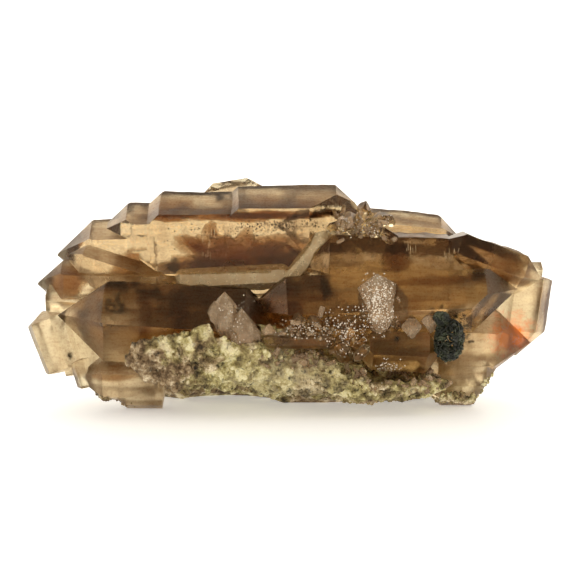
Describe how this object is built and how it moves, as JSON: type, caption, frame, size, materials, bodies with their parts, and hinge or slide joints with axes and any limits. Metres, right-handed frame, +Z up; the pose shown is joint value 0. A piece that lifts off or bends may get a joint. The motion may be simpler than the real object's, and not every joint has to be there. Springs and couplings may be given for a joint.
{
  "type": "smoky quartz cluster on matrix",
  "caption": "Cluster of translucent smoky quartz prisms lying side by side, grown together on a crust of matrix rock with druse and a tuft of chlorite.",
  "frame": {"origin": "centre of the underside, on the surface that the piece rests on", "axes": "+X along the crystals, to the right of the front; +Y to the back; +Z up"},
  "size_m": [0.1298, 0.0536, 0.0554],
  "materials": {
    "smoky_quartz": "clear to misty pale brown, polished natural faces",
    "matrix_rock": "rough and granular, greenish cream",
    "chlorite": "matt green-black with small glints"
  },
  "bodies": {
    "root": {"quartz_cluster": "smoky_quartz", "matrix": "matrix_rock", "chlorite": "chlorite"}
  },
  "joints": []
}
